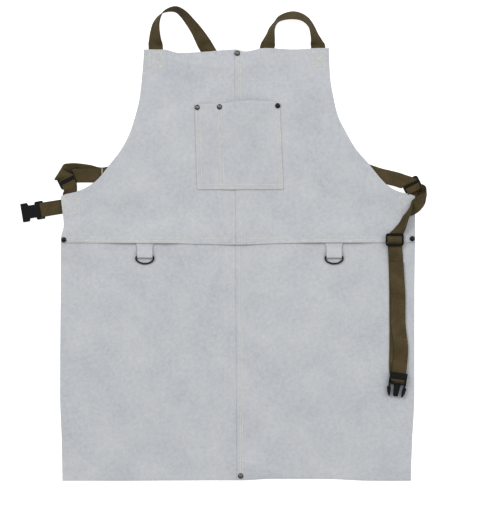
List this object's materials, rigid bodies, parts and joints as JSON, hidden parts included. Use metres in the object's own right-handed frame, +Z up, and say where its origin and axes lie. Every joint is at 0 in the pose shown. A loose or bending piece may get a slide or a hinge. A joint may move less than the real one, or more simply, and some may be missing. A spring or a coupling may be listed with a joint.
{
  "type": "bib apron",
  "caption": "Leather work apron lying flat, front up: bib with a divided chest pocket, lapped skirt, cross-back webbing shoulder straps, D-rings and a buckled waist strap.",
  "frame": {"origin": "on the floor under the middle of the apron's outline", "axes": "+Z up out of the apron's front, +Y towards the bib's top edge, +X to the right as seen from the front"},
  "size_m": [0.7192, 0.8338, 0.0254],
  "materials": {
    "leather": "napped split leather, matte",
    "webbing": "ribbed woven webbing, matte",
    "plastic": "moulded, satin",
    "rivet": "dark plated, satin",
    "ring": "black plated wire, satin"
  },
  "bodies": {
    "apron": {"bib_left": "leather", "bib_right": "leather", "skirt_left": "leather", "skirt_right": "leather", "pocket": "leather", "dring_tab_left": "leather", "dring_tab_right": "leather", "shoulder_strap_left": "webbing", "shoulder_strap_right": "webbing", "corner_strap_left": "webbing", "corner_strap_right": "webbing", "waist_strap_left": "webbing", "waist_strap_right": "webbing", "corner_slide_left": "plastic", "corner_slide_right": "plastic", "waist_slide": "plastic", "buckle_female": "plastic", "buckle_male": "plastic", "rivet_top": "rivet", "rivet_pocket_left": "rivet", "rivet_pocket_pen": "rivet", "rivet_pocket_right": "rivet", "rivet_waist_left": "rivet", "rivet_waist_right": "rivet", "rivet_hem": "rivet"},
    "left_ring": {"dring_left": "ring"},
    "right_ring": {"dring_right": "ring"}
  },
  "joints": [
    {"name": "left_ring_hinge", "type": "hinge", "parent": "apron", "child": "left_ring", "pos_m": [-0.14089, -0.02295, 0.0052], "axis": [-1, 0, 0], "range_deg": [0, 140]},
    {"name": "right_ring_hinge", "type": "hinge", "parent": "apron", "child": "right_ring", "pos_m": [0.19111, -0.02295, 0.0052], "axis": [-1, 0, 0], "range_deg": [0, 140]}
  ]
}
